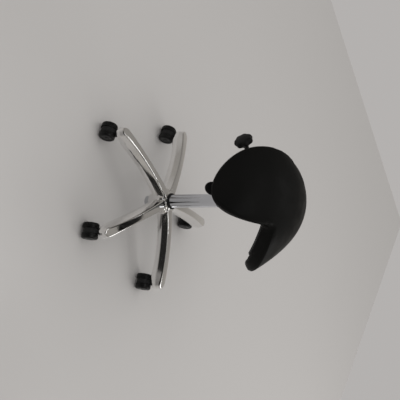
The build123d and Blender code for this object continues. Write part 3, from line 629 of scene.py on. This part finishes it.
def star_casting():
    """Polished five-arm casting, fused from swept arms, a bored hub and the stem sockets."""
    low_z, high_z = (corner.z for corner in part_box("base_star"))
    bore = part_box("column_tube")[1].x                       # the tube stands on the frame's Z axis
    stems = [JOINTS[f"caster_swivel_{n}"]["pos_m"] for n in range(1, 6)]
    hub = [(bore, high_z), (HUB_BOSS_R - HUB_CHAMFER, high_z), (HUB_BOSS_R, high_z - HUB_CHAMFER),
           (HUB_BOSS_R, HUB_LOW_Z), (bore, HUB_LOW_Z)]
    web_z = ARM_TOP_Z[0] - WEB_SINK
    web = [(bore, web_z), (WEB_R - WEB_EDGE, web_z - WEB_SLOPE), (WEB_R, web_z - WEB_SLOPE - WEB_SHOULDER),
           (WEB_R, ARM_LOW_Z[0]), (bore, ARM_LOW_Z[0])]
    socket = [(STEM_BORE_R, low_z + SOCKET_HIGH), (SOCKET_R, low_z + SOCKET_HIGH), (SOCKET_R, low_z),
              (STEM_BORE_R, low_z)]

    def build(bm):
        for x, y, _ in stems:
            sweep_arm(bm, math.atan2(y, x))
            lathe(bm, socket, Matrix.Translation((x, y, 0)), SOCKET_STEPS)
        for profile in (hub, web):
            lathe(bm, profile, Matrix.Identity(4), TURN_STEPS)
        bmesh.ops.recalc_face_normals(bm, faces=bm.faces)

    piece = new_piece("star_casting", mesh_from("star_casting", build))
    remesh = piece.modifiers.new("fuse", "REMESH")
    remesh.mode = "VOXEL"
    remesh.voxel_size = CASTING_VOXEL
    apply_modifiers(piece)
    soften(piece, CASTING_ROUNDS)
    shade_smooth(piece)
    return finish_piece(piece, "base_star", "base_star")


# ---- star knob --------------------------------------------------------------------------
def knob_rings():
    """(radius share, height share, lobe depth) from the neck over the lobed back and rim to the face."""
    rings = [(KNOB_NECK_R - 0.04, 0.0, 0.0), (KNOB_NECK_R, 0.03, 0.0), (KNOB_NECK_R + 0.05, 0.22, 0.0),
             (KNOB_BACK_R, KNOB_BACK_Z, 0.7 * KNOB_LOBE_DEPTH)]
    rim_low, rim_high = KNOB_RIM_Z
    for k in range(9):
        swell = KNOB_RIM_SWELL * math.sin(math.pi * k / 8)
        rings.append((KNOB_FACE_R + swell, rim_low + (rim_high - rim_low) * k / 8, KNOB_LOBE_DEPTH))
    for k in range(1, 10):
        angle = math.pi / 2 * k / 10
        height = KNOB_FACE_Z + (1.0 - KNOB_FACE_Z) * math.sin(angle)
        rings.append((KNOB_FACE_R * math.cos(angle) ** 0.7, height, KNOB_LOBE_DEPTH * (1 - k / 10)))
    return rings


def star_knob():
    """Moulded clamp knob: shallow lobes, a domed face and a neck, around the CAD knob's own axis."""
    joint = JOINTS["clamp_knob_turn"]
    centre, axis = Vector(joint["pos_m"]), Vector(joint["axis"])
    place = axis_frame(centre, axis)

    def along(vertex):
        return (vertex.co - centre).dot(axis)

    def away(vertex):
        return (vertex.co - centre - axis * along(vertex)).length

    knob = NODES["star_knob"].data.vertices
    low, high = min(map(along, knob)), max(map(along, knob))
    rise, reach = high - low, max(map(away, knob))
    bore = min(map(away, NODES["knob_insert"].data.vertices))
    bore_end = low + KNOB_BORE_Z * rise

    def ring(bm, radius, height, lobe=0.0):
        made = []
        for i in range(KNOB_STEPS):
            theta = 2 * math.pi * i / KNOB_STEPS
            r = radius * (1.0 - lobe * (0.5 - 0.5 * math.cos(KNOB_LOBES * theta)) ** 1.2)
            made.append(bm.verts.new(place @ Vector((r * math.cos(theta), r * math.sin(theta), height))))
        return made

    def build(bm):
        rings = [ring(bm, bore, bore_end), ring(bm, bore, low)]
        rings += [ring(bm, reach * share, low + rise * height, lobe) for share, height, lobe in knob_rings()]
        bottom = bm.verts.new(place @ Vector((0, 0, bore_end)))
        crown = bm.verts.new(place @ Vector((0, 0, high)))
        for i in range(KNOB_STEPS):
            n = (i + 1) % KNOB_STEPS
            for here, there in zip(rings, rings[1:]):
                bm.faces.new((here[i], here[n], there[n], there[i]))
            bm.faces.new((rings[0][n], rings[0][i], bottom))
            bm.faces.new((rings[-1][i], rings[-1][n], crown))
        bmesh.ops.recalc_face_normals(bm, faces=bm.faces)

    piece = new_piece("lobed_knob", mesh_from("lobed_knob", build))
    shade_smooth(piece, KNOB_CREASE)
    return finish_piece(piece, "star_knob", "star_knob")


# ---- wheels -----------------------------------------------------------------------------
def wheel_profile(radius, width):
    """Closed (radius, height) outline of a wheel: hub, hollow back, grooved tread, shoulder and face."""
    points = [(WHEEL_BORE_R, 0), (WHEEL_HUB_R - 0.5 * MM, 0), (WHEEL_HUB_R, 0.5 * MM),
              (WHEEL_HUB_R, WHEEL_WEB_DEPTH), (WHEEL_RIM_R - 1 * MM, WHEEL_WEB_DEPTH)]
    points += [(WHEEL_RIM_R, 0.6 * MM), (WHEEL_RIM_R + 0.6 * MM, 0), (radius - TREAD_EASE, 0),
               (radius - 0.3 * MM, 0.3 * MM), (radius, TREAD_EASE)]
    for k in range(GROOVES):
        h = GROOVE_FIRST + GROOVE_PITCH * k
        points += [(radius, h - GROOVE_HALF), (radius - GROOVE_DEPTH, h), (radius, h + GROOVE_HALF)]
    shoulder = width * SHOULDER_SHARE
    reach = width - shoulder
    for k in range(9):
        angle = math.pi / 2 * k / 8
        points.append((radius - reach + reach * math.cos(angle), shoulder + reach * math.sin(angle)))
    points += [(CAP_R + 0.4 * MM, width), (CAP_R, width - CAP_LINE), (CAP_R - 0.6 * MM, width - CAP_LINE),
               (CAP_R - 1 * MM, width - 0.3 * MM), (CAP_DISH_R, width - CAP_DISH),
               (BUTTON_R + 0.4 * MM, width - CAP_DISH), (BUTTON_R, width - 2 * BUTTON_CROWN),
               (0.4 * MM, width - BUTTON_CROWN)]
    button_back = width - BUTTON_CROWN - BUTTON_THICK
    return points + [(0.4 * MM, button_back), (WHEEL_BORE_R, button_back)]


def wheel(side, number):
    """Turned wheel around the CAD wheel's own axle line and box."""
    node = f"wheel_{side}_{number}"
    joint = JOINTS[f"{side}_wheel_spin_{number}"]
    centre, axis = Vector(joint["pos_m"]), Vector(joint["axis"])
    heights = [(v.co - centre).dot(axis) for v in NODES[node].data.vertices]
    outward = 1.0 if side == "left" else -1.0
    inner = min(h * outward for h in heights)
    width = max(h * outward for h in heights) - inner
    radius = centre.z
    place = axis_frame(centre + axis * outward * inner, axis * outward)
    mesh = mesh_from(node, lambda bm: lathe(bm, wheel_profile(radius, width), place, TURN_STEPS))
    piece = new_piece(f"turned_{node}", mesh)
    shade_smooth(piece, WHEEL_CREASE)
    return finish_piece(piece, node, node)


# ---- stage ------------------------------------------------------------------------------
def stage_material():
    """Pale glossy floor with faint cloudy marks."""
    s = Shader("floor", Specular_IOR_Level=0.5)
    s.colour(s.mix(s.noise(0.8, 2.0), FLOOR_GREY, tuple(FLOOR_CLOUD * c for c in FLOOR_GREY)))
    s.roughness(s.spread(s.noise(1.1, 1.0), 0.20, 0.26))
    return s.material


def floor():
    """Level floor under the wheels."""
    def build(bm):
        bmesh.ops.create_grid(bm, x_segments=8, y_segments=8, size=FLOOR_HALF)

    piece = new_piece("floor", mesh_from("floor", build))
    dress(piece, stage_material())


def softbox(name, place, aim, size, power):
    """Rectangular area light that looks at a point."""
    light = bpy.data.lights.new(name, "AREA")
    light.shape = "RECTANGLE"
    light.size, light.size_y = size
    light.energy = power
    lamp = bpy.data.objects.new(name, light)
    bpy.context.scene.collection.objects.link(lamp)
    lamp.location = place
    lamp.rotation_euler = (Vector(aim) - Vector(place)).to_track_quat("-Z", "Y").to_euler()


def colour_ramp(tree, value, stops):
    """Colour that runs through (position, grey level) stops."""
    ramp = tree.nodes.new("ShaderNodeValToRGB")
    tree.links.new(value, ramp.inputs["Fac"])
    while len(ramp.color_ramp.elements) < len(stops):
        ramp.color_ramp.elements.new(0.5)
    for element, (position, grey) in zip(ramp.color_ramp.elements, stops):
        element.position = position
        element.color = opaque(tuple(grey * channel for channel in WARMTH))
    return ramp.outputs["Color"]


def colour_mix(tree, first, second, blend, factor=1.0):
    """Colour socket that blends two colours or colour sockets."""
    made = tree.nodes.new("ShaderNodeMix")
    made.data_type = "RGBA"
    made.blend_type = blend
    for value, index in ((factor, 0), (first, 6), (second, 7)):
        if isinstance(value, bpy.types.NodeSocket):
            tree.links.new(value, made.inputs[index])
        else:
            made.inputs[index].default_value = value
    return made.outputs[2]


def world_light():
    """Room around the stool: a pale wall on one side, and a dark opening low on the other."""
    world = bpy.data.worlds.new("room")
    bpy.context.scene.world = world
    world.use_nodes = True
    tree = world.node_tree
    direction = tree.nodes.new("ShaderNodeTexCoord").outputs["Generated"]
    split = tree.nodes.new("ShaderNodeSeparateXYZ")
    tree.links.new(direction, split.inputs[0])
    pale = colour_ramp(tree, split.outputs["Z"], WALL_STOPS)
    dark = colour_ramp(tree, split.outputs["Z"], OPENING_STOPS)
    around = tree.nodes.new("ShaderNodeTexGradient")
    around.gradient_type = "RADIAL"
    tree.links.new(direction, around.inputs["Vector"])
    frames = colour_ramp(tree, around.outputs["Fac"], FRAME_STOPS)
    side = colour_ramp(tree, around.outputs["Fac"], OPENING_TURN)
    wall = colour_mix(tree, pale, frames, "MULTIPLY")
    room = colour_mix(tree, wall, dark, "MIX", side)
    rays = tree.nodes.new("ShaderNodeLightPath")
    soft = colour_mix(tree, room, AMBIENT, "MIX", rays.outputs["Is Diffuse Ray"])
    shown = colour_mix(tree, soft, opaque(FLOOR_GREY), "MIX", rays.outputs["Is Camera Ray"])
    tree.links.new(shown, tree.nodes["Background"].inputs["Color"])


def camera():
    """Camera at the azimuth and elevation of the driving values, rolled onto its side."""
    azimuth, elevation = math.radians(CAMERA_AZIMUTH), math.radians(CAMERA_ELEVATION)
    back = Vector((math.cos(elevation) * math.cos(azimuth), math.cos(elevation) * math.sin(azimuth),
                   math.sin(elevation)))
    data = bpy.data.cameras.new("camera")
    data.lens = LENS_MM
    data.sensor_width = SENSOR_MM
    made = bpy.data.objects.new("camera", data)
    bpy.context.scene.collection.objects.link(made)
    upright = back.to_track_quat("Z", "Y").to_matrix().to_4x4()
    roll = Matrix.Rotation(math.radians(CAMERA_ROLL), 4, "Z")
    made.matrix_world = Matrix.Translation(Vector(CAMERA_AIM) + back * CAMERA_DISTANCE) @ upright @ roll
    bpy.context.scene.camera = made


def lights():
    """Two ceiling strips and a window, all aimed at the column."""
    softbox("ceiling_strip", (0.5, 0.9, 2.5), (0, 0, 0.3), STRIP_SIZE, STRIP_POWER)
    softbox("ceiling_strip_2", (-0.9, -0.4, 2.5), (0, 0, 0.3), STRIP_SIZE, STRIP_POWER)
    softbox("window", (2.6, -0.4, 1.7), (0, 0, 0.4), WINDOW_SIZE, WINDOW_POWER)


def main():
    materials = finishes()
    for name, node in NODES.items():
        dress(node, materials[SLOT_OF[name]])
        shade_smooth(node, CAD_CREASE)
    dress(saddle_pad(), materials["black_vinyl"])
    for number in range(1, 6):
        for side in ("left", "right"):
            dress(wheel(side, number), materials["black_nylon"])
    dress(star_casting(), materials["polished_aluminium"])
    dress(star_knob(), materials["black_plastic"])
    floor()
    world_light()
    lights()
    camera()
    scene = bpy.context.scene
    scene.view_settings.view_transform = "Standard"


main()
